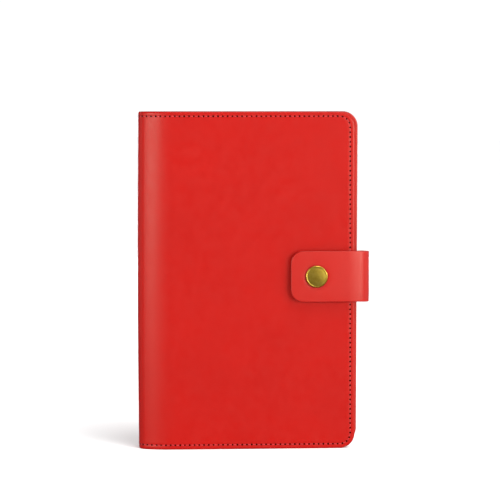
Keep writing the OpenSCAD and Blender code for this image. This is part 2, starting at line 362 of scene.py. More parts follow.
def tube(stations, sides, closed=False):
    """Points and faces of a tube through stations of (centre, across, up, radius across, radius up)."""
    points, faces = [], []
    for centre, across, up, ra, ru in stations:
        for k in range(sides):
            a = TAU * k / sides
            points.append(centre + across * (ra * math.cos(a)) + up * (ru * math.sin(a)))
    last = len(stations) - (0 if closed else 1)
    for i in range(last):
        j = (i + 1) % len(stations)
        for k in range(sides):
            m = (k + 1) % sides
            faces.append((i * sides + k, i * sides + m, j * sides + m, j * sides + k))
    if not closed:
        faces.append(tuple(range(sides)))
        faces.append(tuple((len(stations) - 1) * sides + k for k in reversed(range(sides))))
    return points, faces


# ---- materials ----

def set_range(node, *numbers):
    """Sets what a Map Range node maps from and to."""
    for label, number in zip(("From Min", "From Max", "To Min", "To Max"), numbers):
        node.inputs[label].default_value = number


class Shader:
    """A material's node tree, with short ways to add to it."""

    def __init__(self, name, **sockets):
        self.material = bpy.data.materials.new(name)
        self.material.use_nodes = True
        self.tree = self.material.node_tree
        self.shader = self.tree.nodes["Principled BSDF"]
        for socket, value in sockets.items():
            self.shader.inputs[socket.replace("_", " ")].default_value = value

    def add(self, kind, settings=None, **inputs):
        made = self.tree.nodes.new("ShaderNode" + kind)
        for key, value in (settings or {}).items():
            setattr(made, key, value)
        for key, value in inputs.items():
            self.put(made.inputs[key.replace("_", " ")], value)
        return made

    def put(self, socket, value):
        if isinstance(value, bpy.types.NodeSocket):
            self.tree.links.new(value, socket)
        else:
            socket.default_value = value

    def rest(self):
        return self.add("Attribute", {"attribute_name": "rest_mm"}).outputs["Vector"]

    def number(self, attribute):
        return self.add("Attribute", {"attribute_name": attribute}).outputs["Fac"]

    def noise(self, vector, size, detail=2.0, **more):
        """Noise whose features are about size millimetres across."""
        return self.add("TexNoise", Vector=vector, Scale=1 / size, Detail=detail, **more).outputs["Fac"]

    def cells(self, vector, size, feature="F1"):
        found = self.add("TexVoronoi", {"feature": feature}, Vector=vector, Scale=1 / size)
        return found.outputs["Distance"]

    def ramp(self, value, *stops):
        """Colours at positions, as (position, colour) pairs."""
        made = self.add("ValToRGB", Fac=value)
        elements = made.color_ramp.elements
        for _ in range(len(stops) - 2):
            elements.new(0.5)
        for element, (position, colour) in zip(elements, stops):
            element.position = position
            element.color = (*colour, 1)
        return made.outputs["Color"]

    def range(self, value, lo, hi, out_lo, out_hi):
        made = self.add("MapRange", Value=value)
        set_range(made, lo, hi, out_lo, out_hi)
        return made.outputs["Result"]

    def maths(self, operation, a, b):
        made = self.add("Math", {"operation": operation})
        self.put(made.inputs[0], a)
        self.put(made.inputs[1], b)
        return made.outputs["Value"]

    def mix(self, factor, a, b, blend="MIX"):
        made = self.add("Mix", {"data_type": "RGBA", "blend_type": blend})
        self.put(made.inputs[0], factor)
        self.put(made.inputs[6], a if isinstance(a, bpy.types.NodeSocket) else (*a, 1))
        self.put(made.inputs[7], b if isinstance(b, bpy.types.NodeSocket) else (*b, 1))
        return made.outputs[2]

    def bump(self, height, strength, distance_mm, under=None):
        made = self.add("Bump", Height=height, Strength=strength, Distance=distance_mm * MM)
        if under is not None:
            self.put(made.inputs["Normal"], under)
        return made.outputs["Normal"]

    def finish(self, colour, roughness, normal):
        self.put(self.shader.inputs["Base Color"], colour)
        self.put(self.shader.inputs["Roughness"], roughness)
        self.put(self.shader.inputs["Normal"], normal)
        return self.material


def leather_material(name, light, dark, roughness, specular=0.24, grain=0.25):
    """Smooth dyed leather: fine pebbled grain, slow changes of tone, and burnished cut edges."""
    s = Shader(name, Specular_IOR_Level=specular, Specular_Tint=(1.0, 1.0, 0.82, 1.0))
    rest = s.rest()
    pebble = s.cells(rest, 0.85, "SMOOTH_F1")
    crease = s.cells(rest, 1.3, "DISTANCE_TO_EDGE")
    slow = s.noise(rest, 34, 3)
    fine = s.noise(rest, 0.35, 2)
    tone = s.ramp(slow, (0.32, dark), (0.68, light))
    creased = s.range(crease, 0.0, 0.06, 0.93, 1.0)
    tone = s.mix(1.0, tone, creased, "MULTIPLY")
    edge = s.number("edge")
    cut = s.range(edge, 0.05, 0.55, 1.0, 0.0)
    tone = s.mix(cut, tone, [c * 0.8 for c in dark])
    rough = s.range(s.noise(rest, 6, 3), 0.3, 0.7, roughness - 0.04, roughness + 0.04)
    grain_bump = s.bump(pebble, grain, 0.05)
    normal = s.bump(fine, grain * 0.6, 0.03, grain_bump)
    return s.finish(tone, rough, normal)


def suede_material(name, light, dark):
    """Napped lining: a short soft pile with brushed patches."""
    s = Shader(name, Specular_IOR_Level=0.15, Sheen_Weight=0.35, Sheen_Roughness=0.4)
    rest = s.rest()
    patches = s.noise(rest, 14, 4)
    pile = s.noise(rest, 0.5, 4)
    tone = s.mix(0.35, s.ramp(patches, (0.3, dark), (0.7, light)), s.ramp(pile, (0.35, dark), (0.65, light)))
    rough = s.range(pile, 0.3, 0.7, 0.82, 0.95)
    return s.finish(tone, rough, s.bump(pile, 0.5, 0.12))


def thread_material():
    """Waxed thread with fine fibres."""
    s = Shader("thread", Specular_IOR_Level=0.4, Sheen_Weight=0.15)
    rest = s.rest()
    fibres = s.noise(rest, 0.12, 3)
    base = s.mix(s.number("shade"), (0.30, 0.006, 0.010), (0.42, 0.013, 0.020))
    tone = s.mix(s.range(fibres, 0.3, 0.7, 0.0, 0.35), base, (0.24, 0.004, 0.007))
    rough = s.range(fibres, 0.3, 0.7, 0.45, 0.62)
    return s.finish(tone, rough, s.bump(fibres, 0.4, 0.04))


def hole_shade_material():
    """Painted shade for the inside of a stitch hole: a near-black colour that stands in for the shadow down
    the hole.
    """
    s = Shader("stitch_hole_painted_shade", Specular_IOR_Level=0.0)
    rest = s.rest()
    rags = s.noise(rest, 0.2, 2)
    base = s.mix(s.number("shade"), (0.002, 0.0003, 0.0003), (0.020, 0.0015, 0.0010))
    tone = s.mix(s.range(rags, 0.35, 0.65, 0.0, 0.5), base, (0.030, 0.002, 0.0015))
    return s.finish(tone, s.range(rags, 0.3, 0.7, 0.75, 0.9), s.bump(rags, 0.5, 0.1))


def brass_material():
    """Aged olive brass with faint tarnish and dark specks."""
    s = Shader("aged_brass", Metallic=1.0, Coat_Weight=0.15, Coat_Roughness=0.22)
    rest = s.rest()
    tarnish = s.noise(rest, 2.6, 5)
    specks = s.noise(rest, 0.35, 3)
    dull, mid, bright = (0.290, 0.187, 0.021), (0.365, 0.244, 0.030), (0.440, 0.308, 0.048)
    tone = s.ramp(tarnish, (0.28, dull), (0.5, mid), (0.75, bright))
    tone = s.mix(s.range(specks, 0.55, 0.75, 0.0, 0.35), tone, (0.12, 0.08, 0.014))
    rough = s.range(tarnish, 0.3, 0.7, 0.40, 0.32)
    return s.finish(tone, rough, s.bump(specks, 0.15, 0.03))


def steel_material():
    """Bright spring wire with fine marks."""
    s = Shader("spring_steel", Metallic=1.0)
    rest = s.rest()
    marks = s.noise(rest, 0.2, 3)
    tone = s.ramp(marks, (0.3, (0.42, 0.42, 0.43)), (0.7, (0.62, 0.62, 0.63)))
    return s.finish(tone, s.range(marks, 0.3, 0.7, 0.22, 0.34), s.bump(marks, 0.15, 0.02))


def paper_material(name, light, dark):
    """Uncoated paper with faint fibres. Each leaf has its own shade."""
    s = Shader(name, Specular_IOR_Level=0.2)
    rest = s.rest()
    fibres = s.noise(rest, 0.4, 4)
    clouds = s.noise(rest, 9, 3)
    tone = s.mix(s.number("shade"), dark, light)
    tone = s.mix(s.range(clouds, 0.3, 0.7, 0.0, 0.12), tone, dark)
    tone = s.mix(s.range(fibres, 0.5, 0.8, 0.0, 0.2), tone, [c * 0.85 for c in dark])
    return s.finish(tone, s.range(fibres, 0.3, 0.7, 0.8, 0.92), s.bump(fibres, 0.25, 0.05))


def bookcloth_material():
    """Black book cloth: a plain weave at 0.45 mm."""
    s = Shader("black_bookcloth", Specular_IOR_Level=0.25, Sheen_Weight=0.1)
    rest = s.rest()
    warp = s.add("TexWave", {"bands_direction": "X"}, Vector=rest, Scale=0.7, Distortion=0.6).outputs["Fac"]
    weft = s.add("TexWave", {"bands_direction": "Z"}, Vector=rest, Scale=0.7, Distortion=0.6).outputs["Fac"]
    weave = s.maths("MULTIPLY", warp, weft)
    lint = s.noise(rest, 3, 4)
    tone = s.ramp(weave, (0.0, (0.006, 0.006, 0.007)), (1.0, (0.030, 0.029, 0.031)))
    tone = s.mix(s.range(lint, 0.55, 0.8, 0.0, 0.3), tone, (0.045, 0.043, 0.044))
    return s.finish(tone, s.range(weave, 0.0, 1.0, 0.75, 0.6), s.bump(weave, 0.5, 0.08))


def headband_material():
    """Silk headband worked in two colours."""
    s = Shader("headband_silk", Specular_IOR_Level=0.45, Sheen_Weight=0.3)
    rest = s.rest()
    turns = s.add("TexWave", {"bands_direction": "Y"}, Vector=rest, Scale=0.31, Distortion=0.2).outputs["Fac"]
    tone = s.ramp(turns, (0.45, (0.32, 0.012, 0.012)), (0.55, (0.78, 0.70, 0.55)))
    return s.finish(tone, s.range(turns, 0.0, 1.0, 0.4, 0.5), s.bump(turns, 0.3, 0.1))


RED = leather_material("red_leather", (0.300, 0.0009, 0.0003), (0.283, 0.0008, 0.0003), 0.37, 0.22)
STRAP_RED = leather_material("strap_leather", (0.306, 0.0013, 0.0005), (0.292, 0.0011, 0.0004), 0.42, 0.31)
POCKET_RED = leather_material(
    "pocket_leather", (0.400, 0.0060, 0.0040), (0.350, 0.0048, 0.0032), 0.5, 0.3, grain=0.35)
SUEDE = suede_material("wine_suede", (0.235, 0.016, 0.016), (0.150, 0.009, 0.010))
THREAD = thread_material()
# The stitch holes' near-black colour is painted shade.
PAINTED_HOLE_SHADE = hole_shade_material()
BRASS = brass_material()
STEEL = steel_material()
PAPER = paper_material("ivory_paper", (0.460, 0.425, 0.345), (0.350, 0.315, 0.240))
ENDPAPER = paper_material("endpaper", (0.400, 0.365, 0.290), (0.350, 0.315, 0.245))
CLOTH = bookcloth_material()
SILK = headband_material()


# ---- the cover ----

def shoulder_radii():
    """The wide and the tight radius of the shoulder between the spine's flat and a cover's face."""
    s, c = math.sin(SHOULDER_TURN), math.cos(SHOULDER_TURN)
    drop = HALF_T - FLAT_HALF
    wide = (SHOULDER_W - (1 - s) * drop / c) / (s - (1 - s) * (1 - c) / c)
    return wide, (drop - (1 - c) * wide) / c


def cover_plan(width):
    """The outer face in plan, from the middle of the spine to the fore-edge of the front side."""
    wide, tight = shoulder_radii()
    plan = Plan(0, 0, -math.pi / 2).run(FLAT_HALF)
    plan.bend(tight, math.pi / 2 - SHOULDER_TURN).bend(wide, SHOULDER_TURN)
    return plan.run(width - SHOULDER_W)


FRONT_PLAN = cover_plan(FRONT_W)
BACK_PLAN = cover_plan(BACK_W)
# How much longer the plan is than its width, because of the shoulder's bends
PLAN_EXTRA = FRONT_PLAN.length - FRONT_W


def lean(x, z, side):
    """How far the handmade cover stands off its straight outline, along x: the spine bows out in
    the middle, and the two fore-edges are a little out of square."""
    v = 2 * z / HEIGHT - 1
    bow = -0.35 + 0.09 * v + 0.63 * v * v
    skew = -0.31 * v if side == FRONT else 0.23 * v
    return bow * smooth(1 - x / 35) + skew * smooth((x - 60) / 80)


def placer(plan, side):
    """place(u, z, depth) for one side of the cover, as a point in book coordinates."""
    def place(u, z, depth):
        x, y, nx, ny = plan.at(u)
        x -= nx * depth
        y -= ny * depth
        return Vector((x + lean(x, z, side), side * y, z))
    return place


def across_hinge(piece, side):
    """Bakes a piece's transform into its mesh. It works out the ends of a hinge line along the diagonal of
    the shoulder, but they are not used.
    """
    start, end = 4.0, 11.0
    diagonal = Vector((1, -side, 0)) / math.sqrt(2)
    foot = Vector((0, 0, HEIGHT / 2))
    ends = [row_point(foot + diagonal * d) for d in (start, end)]
    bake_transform(piece)


OUTER_RINGS = (
    0, 0.05, 0.15, 0.3, 0.6, 0.85, 1.1, 1.7, 2.3, 2.65, 3, 3.35, 3.7, 4.3, 5.2, 6.6, 8.2, CORNER_R)


def bevel(d):
    """The leather's cut edge: a bevel, rounded off at the edge itself."""
    return 0.45 * max(0.0, BEVEL_W - d) + roll(d, 0.3)


def outer_relief(u, z, d):
    """Depth of the leather's outer face: bevelled edge, seam groove, soft swell on both sides of it."""
    groove = GROOVE_DEPTH * bell(d - SEAM_INSET, 0.5)
    swell = 0.02 * bell(d - 1.7, 0.7) + 0.04 * bell(d - 4.8, 1.3)
    return bevel(d) + groove - swell + 0.05 * ripple(u, z, 1)


def make_leather(name, side, plan, nodes):
    panel = Panel(plan.samples(0, plan.length, 3.2), 0, HEIGHT, OUTER_RINGS)

    def outer(u, z, d):
        return outer_relief(u, z * side, d)

    def inner(u, z, d):
        return LEATHER_T - roll(d, 0.4)

    piece = sheet_piece(name, panel, placer(plan, side), outer, inner, RED)
    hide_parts(*nodes)
    across_hinge(piece, side)
    return piece


LINING_INSET = 0.3


def make_lining(name, side, plan, nodes):
    rings = (0, 0.1, 0.3, 1, 2, 2.7, 3.4, 5, 7.5, CORNER_R - LINING_INSET)
    us = plan.samples(0, plan.length - LINING_INSET, 3.2)
    panel = Panel(us, LINING_INSET, HEIGHT - LINING_INSET, rings)

    def outer(u, z, d):
        return LEATHER_T + 0.02 + roll(d, 0.2)

    def inner(u, z, d):
        return INSIDE_D - roll(d, 0.2) + 0.03 * ripple(u, z, 3, 12) - 0.12 * bell(d - 2.7, 0.6)

    piece = sheet_piece(name, panel, placer(plan, side), outer, inner, SUEDE)
    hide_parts(*nodes)
    across_hinge(piece, side)


def pocket_step(d):
    """The pocket's rise over the board's edge, from 0 on the flange to 1 on the panel."""
    return smooth((d - FLANGE_W + 0.5) / 1.3)


def make_pocket(name, side, plan, body, node):
    lo, hi = book_box(node)
    inset = 0.12
    rings = (0, 0.1, 0.3, 1.2, 2.1, 2.6, 3.0, 3.4, 4.2, 4.6, 4.9, 5.2, 5.5, 5.8, 6.2, 7.2, 8.6,
             CORNER_R - inset)
    us = plan.samples(plan.length - (hi.x - lo.x), plan.length - inset, 3.2)
    panel = Panel(us, inset, HEIGHT - inset, rings, start="square")
    rise = PANEL_BACK_D - POCKET_T - INSIDE_D

    def outer(u, z, d):
        sewn = panel.distance(u, z, with_start=False)
        return INSIDE_D + 0.02 + rise * pocket_step(sewn - 0.5) + roll(d, 0.3)

    def inner(u, z, d):
        sewn = panel.distance(u, z, with_start=False)
        crease = 0.14 * bell(u - panel.u0 - 2.4, 0.45) + 0.12 * bell(sewn - SEAM_INSET + inset, 0.5)
        top = INSIDE_D + POCKET_T + rise * pocket_step(sewn)
        return top - roll(d, 0.35) - crease + 0.04 * ripple(u, z, 5) - 0.04

    piece = sheet_piece(name, panel, placer(plan, side), outer, inner, POCKET_RED)
    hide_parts(node)
    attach(piece, body)
    return inner, panel.u0


def make_card_slot(name, node):
    lo, hi = book_box(node)
    d0, d1 = depths(node)
    rings = (0, 0.1, 0.3, 0.8, 1.3, 1.7, 2.1, 2.5, SLOT_CORNER_R)
    us = spread(lo.x + PLAN_EXTRA, hi.x + PLAN_EXTRA, 4)
    panel = Panel(us, lo.z, hi.z, rings, start="round", end="round")

    def outer(u, z, d):
        return d0 + 0.02 + roll(d, 0.2)

    def inner(u, z, d):
        return d1 - roll(d, 0.3) - 0.14 * bell(d - SLOT_SEAM_INSET, 0.35) + 0.05 * ripple(u, z, 8) - 0.04

    piece = sheet_piece(name, panel, placer(FRONT_PLAN, FRONT), outer, inner, POCKET_RED)
    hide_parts(node)
    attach(piece, "front")
    return inner


# ---- stitching ----

HOLE_SIDES = 10
HOLE_DEPTH = 0.35
STITCH_LIFT = 0.12


def sew(heap, seam, surface, rng):
    """Fills a seam with stitches and holes. seam is a Plan in u and z, and surface(u, z, lift) is the
    point that stands lift millimetres proud of the material."""
    count = max(1, round(seam.length / STITCH_PITCH))
    pitch = seam.length / count

    def spot(s, lift, aside=0.0):
        u, z, nu, nz = seam.at(min(max(s, 0), seam.length))
        return surface(u + nu * aside, z + nz * aside, lift)

    def axes(s):
        along = (spot(s + 0.2, 0) - spot(s - 0.2, 0)).normalized()
        up = (spot(s, 1) - spot(s, 0)).normalized()
        return along.cross(up).normalized(), up

    def oval(s, wide, long, share, lift):
        turns = [TAU * k / HOLE_SIDES for k in range(HOLE_SIDES)]
        return [spot(s + share * long * math.sin(a), lift, share * wide * math.cos(a)) for a in turns]

    for i in range(count + 1):
        s = i * pitch
        _, up = axes(s)
        wide, long = 0.62 + rng.uniform(-0.07, 0.07), 0.58 + rng.uniform(-0.07, 0.07)
        rim = oval(s, wide, long, 1, 0.05)
        low = oval(s, wide, long, 0.5, 0.03)
        under = [p - up * HOLE_DEPTH for p in rim]
        n = HOLE_SIDES
        faces = [(k, (k + 1) % n, n + (k + 1) % n, n + k) for k in range(n)]
        faces += [tuple(range(n, 2 * n))]
        faces += [((k + 1) % n, k, 2 * n + k, 2 * n + (k + 1) % n) for k in range(n)]
        faces += [tuple(range(3 * n - 1, 2 * n - 1, -1))]
        # Each hole's cup takes the second material, the near-black painted shade.
        heap.add(rim + low + under, faces, rng.random(), 1)
    for i in range(count):
        slant = 0.13 + rng.uniform(-0.04, 0.04)
        reach = 0.5 * pitch - 0.42
        middle = (i + 0.5) * pitch + rng.uniform(-0.04, 0.04)
        stations = []
        for j in range(9):
            t = j / 8 * 2 - 1
            s = middle + reach * t
            across, up = axes(s)
            lift = STITCH_LIFT - 0.42 * abs(t) ** 3
            fat = THREAD_R * (1 - 0.22 * t * t) * (1 + 0.05 * math.cos(6 * math.pi * t + i))
            stations.append((spot(s, lift, slant * t), across, up, fat, fat * 0.85))
        points, faces = tube(stations, 8)
        heap.add(points, faces, rng.random(), 0)


def edge_seam(plan):
    """The seam along the top, fore-edge and bottom of one side, from mid-spine to mid-spine."""
    turn_r = CORNER_R - SEAM_INSET
    straight = plan.length - CORNER_R
    seam = Plan(0, HEIGHT - SEAM_INSET, 0).run(straight).bend(turn_r, -math.pi / 2)
    seam.run(HEIGHT - 2 * CORNER_R).bend(turn_r, -math.pi / 2)
    return seam.run(straight)


def make_threads(name, side, plan, pocket_inner, pocket_u0, nodes):
    rng = random.Random(11 if side == FRONT else 23)
    place = placer(plan, side)
    cut = Panel([0, plan.length], 0, HEIGHT, (0, CORNER_R))
    heap = Heap()

    def outside(u, z, lift):
        return place(u, z, outer_relief(u, z * side, cut.distance(u, z)) - lift)

    def inside(u, z, lift):
        on_pocket = u > pocket_u0
        depth = pocket_inner(u, z, cut.distance(u, z)) if on_pocket else INSIDE_D - 0.12
        return place(u, z, depth + lift)

    sew(heap, edge_seam(plan), outside, rng)
    sew(heap, edge_seam(plan), inside, rng)
    piece = heap.piece(name, THREAD, PAINTED_HOLE_SHADE)
    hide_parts(*nodes)
    across_hinge(piece, side)


def make_slot_threads(name, node, inner, z_from):
    """The seam down one side of a card slot, along its bottom and up the other side. Where z_from is above
    the slot's bottom, only the two sides are sewn, from just above z_from up.
    """
    lo, hi = book_box(node)
    place = placer(FRONT_PLAN, FRONT)
    cut = Panel([lo.x + PLAN_EXTRA, hi.x + PLAN_EXTRA], lo.z, hi.z, (0, SLOT_CORNER_R), start="round")
    inset, turn_r = SLOT_SEAM_INSET, SLOT_CORNER_R - SLOT_SEAM_INSET
    left, right = lo.x + PLAN_EXTRA + inset, hi.x + PLAN_EXTRA - inset
    top = hi.z - inset
    heap = Heap()
    rng = random.Random(node)

    def surface(u, z, lift):
        return place(u, z, inner(u, z, cut.distance(u, z)) + lift)

    if z_from > lo.z:
        for u in (left, right):
            sew(heap, Plan(u, z_from + 1.5, math.pi / 2).run(top - z_from - 1.5), surface, rng)
    else:
        seam = Plan(left, top, -math.pi / 2).run(top - lo.z - inset - turn_r).bend(turn_r, math.pi / 2)
        seam.run(right - left - 2 * turn_r).bend(turn_r, math.pi / 2).run(top - lo.z - inset - turn_r)
        sew(heap, seam, surface, rng)
    piece = heap.piece(name, THREAD, PAINTED_HOLE_SHADE)
    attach(piece, "front")


# ---- the strap ----

def strap_plan():
    """The strap's outer face in plan, from its free end round the fore-edge to its root. Past the
    snap it is pulled in towards the cover, more and more, and then it bends round the fore-edge."""
    pulled = LONG_PULL_TURN + SHORT_PULL_TURN
    arcs = ((LONG_PULL_R, LONG_PULL_TURN), (SHORT_PULL_R, SHORT_PULL_TURN),
            (FRONT_BEND_R, math.pi / 2 - pulled))
    bends = Plan(0, 0, 0)
    for radius, turn in arcs:
        bends.bend(radius, turn)
    reach_x, reach_y, _ = bends.tip
    plan = Plan(flap_lo.x, flap_lo.y, 0).run(side_hi.x - reach_x - flap_lo.x)
    for radius, turn in arcs:
        plan.bend(radius, turn)
    plan.run(root_hi.y - BACK_BEND_R - (flap_lo.y + reach_y))
    plan.bend(BACK_BEND_R, math.pi / 2)
    return plan.run(side_hi.x - BACK_BEND_R - root_lo.x)


STRAP_PLAN = strap_plan()
# Where the front bend, the side's straight run and the root start along the strap
FRONT_BEND_U, SIDE_U, _, ROOT_U = [run[0] for run in STRAP_PLAN.runs[3:]]
STRAP_RINGS = (0, 0.05, 0.16, 0.34, 0.65, 1.1, 1.8, 2.8, 4.2, 6, STRAP_CORNER_R)


def strap_place(u, z, depth):
    """The strap runs level over the front and slants down from the front bend to its root."""
    x, y, nx, ny = STRAP_PLAN.at(u)
    slant = min(1.0, max(0.0, (u - FRONT_BEND_U) / (ROOT_U - FRONT_BEND_U)))
    return Vector((x - nx * depth, y - ny * depth, z - STRAP_FALL * slant))


def strap_bend_lines():
    """For the front and the back bend, the points in book coordinates where it starts and ends."""
    middle = (flap_lo.z + flap_hi.z) / 2
    out_x, reach = side_hi.x, STRAP_FOLD_REACH
    front = ((out_x, flap_lo.y + reach), (out_x - reach, flap_lo.y))
    back = ((out_x - BACK_BEND_R, root_hi.y), (out_x, root_hi.y - BACK_BEND_R))
    return [[row_point((x, y, middle)) for x, y in ends] for ends in (front, back)]


def skive(u):
    """How far the strap is pared down on each face where it goes in under the cover's edge."""
    root_t = 0.6
    return (STRAP_T - root_t) / 2 * smooth((u - ROOT_U + 0.7) / 1.2)


def strap_outer(u, z, d):
    x = flap_lo.x + u
    rho = math.hypot(x - SNAP_X, z - SNAP_Z)
    dent = 0.22 * bell(rho - CAP_R, 1.0) + (0.15 if rho < CAP_R else 0)
    crown = 0.12 * smooth(d / 6)
    proud = SIDE_BULGE * bell(u - SIDE_U, 9)
    pressed = dent * (u < FRONT_W - flap_lo.x)
    return roll(d, 0.65) + skive(u) + pressed - crown - proud + 0.05 * ripple(u, z, 12, 30)


def strap_inner(u, z, d):
    return STRAP_T - roll(d, 0.55) - skive(u)


def make_strap():
    u_mid = SIDE_U + STRAP_PLAN.runs[4][1] / 2
    z0, z1 = flap_lo.z, flap_hi.z
    front_ends, back_ends = strap_bend_lines()
    us = STRAP_PLAN.samples(0, u_mid, 1.3)
    panel = Panel(us, z0, z1, STRAP_RINGS, start="round", end="open", z_step=1.3)
    flap = sheet_piece("strap_front_leather", panel, strap_place, strap_outer, strap_inner, STRAP_RED)
    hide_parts("strap_flap", "strap_side")
    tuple(front_ends[0])
    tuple(front_ends[1])
    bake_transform(flap)
    us = STRAP_PLAN.samples(u_mid, STRAP_PLAN.length, 1.3)
    panel = Panel(us, z0, z1, STRAP_RINGS, start="open", end="square", z_step=1.3)
    root = sheet_piece("strap_back_leather", panel, strap_place, strap_outer, strap_inner, STRAP_RED)
    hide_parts("strap_root")
    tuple(back_ends[0])
    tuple(back_ends[1])
    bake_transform(root)


# ---- the snap ----

def turned(name, profile, foot_y, out, material, node, body, sides=64):
    """A turned piece on the snap's axis. profile is a closed line of (radius, height), and the height
    runs along y in the direction of out from foot_y."""
    points, faces = [], []
    n = len(profile)
    for k in range(sides):
        a = TAU * k / sides
        for r, h in profile:
            points.append(Vector((SNAP_X + r * math.cos(a), foot_y + out * h, SNAP_Z + r * math.sin(a))))
    for k in range(sides):
        m = (k + 1) % sides
        for i in range(n):
            j = (i + 1) % n
            faces.append((k * n + i, k * n + j, m * n + j, m * n + i))
    piece = add_piece(name, points, faces, material, sharp=50)
    clean(piece.data, merge=True)
    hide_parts(node)
    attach(piece, body)


def arc_points(cx, cy, r, a0, a1, steps):
    """Points along an arc, angles in degrees."""
    turns = [math.radians(a0 + (a1 - a0) * i / steps) for i in range(steps + 1)]
    return [(cx + r * math.cos(a), cy + r * math.sin(a)) for a in turns]


def cap_profile():
    """A shallow dome inside a rolled rim, and the shank that holds it through the strap."""
    bead, rim_h, dome_h = 0.8, 0.55, 1.6
    ring_r = CAP_R - bead
    dome_r = 62
    shank_r, flare_r, shank_end = 1.8, 2.4, -2.0
    inside = ring_r - bead * 0.1
    dome = [(r, dome_h - dome_r + math.sqrt(dome_r ** 2 - r * r)) for r in spread(0, inside, 0.5)]
    rim = arc_points(ring_r, rim_h, bead, 86, -40, 16)
    under = [(CAP_R - 0.75, 0.02), (4, -0.05), (shank_r, -0.1)]
    shank = [(shank_r, shank_end + 0.3), (flare_r, shank_end), (0, shank_end)]
    return dome + rim + under + shank


def stud_profile():
    """A flange, a waisted neck and a rounded head, hollow for the post."""
    bore, top = 1.05, 2.1
    head = arc_points(1.85, 1.72, 0.36, 90, -50, 8)
    neck = arc_points(2.25, 0.98, 0.4, 160, 270, 6)
    flange = arc_points(4.95, 0.25, 0.25, 90, -90, 8)
    return [(bore, 1.6), (bore, top - 0.08), (bore + 0.1, top)] + head + neck + flange + [(bore, 0)]


def socket_profile():
    """A flanged cup whose mouth is rolled in over the spring."""
    base = arc_points(5.0, 0.2, 0.2, -90, 90, 6)
    wall = arc_points(3.55, 1.55, 0.35, 0, 90, 6)
    mouth = arc_points(2.75, 1.7, 0.2, 90, 270, 6)
    bore = [(3.2, 1.5), (3.2, 0.45), (1.9, 0.4), (1.9, 0)]
    return base + [(4.1, 0.4), (3.9, 0.6)] + wall + mouth + bore


def post_profile():
    """A flat-headed post."""
    flange = [(0, -0.3), (4.3, -0.3), (4.5, -0.15), (4.5, 0)]
    return flange + [(1.2, 0), (1, 0.2), (1, 3.1), (0.8, 3.2), (0, 3.2)]


def make_spring():
    """A split ring of spring wire inside the socket."""
    lo, hi = book_box("snap_spring")
    wire_r = (hi.y - lo.y) / 2
    ring_r = (hi.x - lo.x) / 2 - wire_r
    centre_y = (lo.y + hi.y) / 2
    gap = math.radians(14)
    stations = []
    for a in spread(gap, TAU - gap, math.radians(7)):
        out = Vector((math.cos(a), 0, math.sin(a)))
        centre = Vector((SNAP_X, centre_y, SNAP_Z)) + out * ring_r
        stations.append((centre, out, Vector((0, 1, 0)), wire_r, wire_r))
    points, faces = tube(stations, 12)
    piece = add_piece("snap_spring_ring", points, faces, STEEL, sharp=50)
    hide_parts("snap_spring")
    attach(piece, "strap_flap")


def make_snap():
    face_y = -HALF_T
    turned("snap_cap_brass", cap_profile(), flap_lo.y, -1, BRASS, "snap_cap", "strap_flap", 96)
    turned("snap_socket_brass", socket_profile(), flap_lo.y + STRAP_T, 1, BRASS, "snap_socket", "strap_flap")
    turned("snap_stud_brass", stud_profile(), face_y, -1, BRASS, "snap_stud", "front")
    turned("snap_post_brass", post_profile(), face_y + LEATHER_T, -1, BRASS, "snap_post", "front", 32)
    make_spring()


# ---- the notebook ----

def make_case(name, side, nodes):
    """Half of the notebook's case: spine strip, hinge strip and board under one cloth."""
    strip_t, board_t = 0.9, PAPER_D - BOARD_D
    radius = CORNER_R - board_lo.z
    rings = (0, 0.06, 0.2, 0.5, 1.2, 2.2, radius)
    us = FRONT_PLAN.samples(0, board_hi.x + PLAN_EXTRA, 4)
    joint = [SHOULDER_W + PLAN_EXTRA + d for d in (-2, -1.4, -0.9, -0.5, -0.1, 0.4, 1)]
    us = sorted(set(u for u in us if not joint[0] - 0.8 < u < joint[-1] + 0.8) | set(joint))
    panel = Panel(us, board_lo.z, HEIGHT - board_lo.z, rings, z_step=5)

    def outer(u, z, d):
        return BOARD_D + roll(d, 0.45)

    def inner(u, z, d):
        rise = smooth((u - PLAN_EXTRA - SHOULDER_W + 1.6) / 1.8)
        return BOARD_D + strip_t + (board_t - strip_t) * rise - roll(d, 0.45)

    piece = sheet_piece(name, panel, placer(FRONT_PLAN, side), outer, inner, CLOTH)
    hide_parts(*nodes)
    across_hinge(piece, side)


def paper_sheet(name, plan, side, body, node):
    """A sheet of endpaper along a line in plan."""
    half = (PAPER_BACK_D - PAPER_D) / 2
    us = plan.samples(0, plan.length, 6)
    panel = Panel(us, paper_lo.z, paper_hi.z, (0, 0.1, 2), start="square", end="square", z_step=8)

    def place(u, z, depth):
        x, y, nx, ny = plan.at(u)
        return Vector((x - nx * depth, side * (y - ny * depth), z))

    shade = [0.7] * (2 * len(panel.points))
    piece = sheet_piece(name, panel, place, lambda *_: -half, lambda *_: half, ENDPAPER, shade=shade)
    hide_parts(node)
    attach(piece, body)


def make_endpapers():
    middle = (PAPER_D + PAPER_BACK_D) / 2
    width = paper_hi.x - paper_lo.x
    y = middle - HALF_T
    paper_sheet("front_pastedown", Plan(paper_lo.x, y, 0).run(width), FRONT, "front", "front_endpaper")
    flyleaf_d = HALF_T - block_hi.y - (PAPER_BACK_D - PAPER_D) / 2
    fold_r = (flyleaf_d - middle) / 2
    plan = Plan(paper_hi.x, y, math.pi).run(width - fold_r).bend(fold_r, -math.pi).run(width - fold_r)
    paper_sheet("back_endpaper_leaf", plan, BACK, "back", "back_endpaper")


def block_front_edge(y):
    """x of the page block's rounded spine at y."""
    r = (BLOCK_ROUND_D ** 2 + BLOCK_HALF_T ** 2) / (2 * BLOCK_ROUND_D)
    off = y - BLOCK_MID_Y
    return block_lo.x + r - math.sqrt(r * r - off * off)


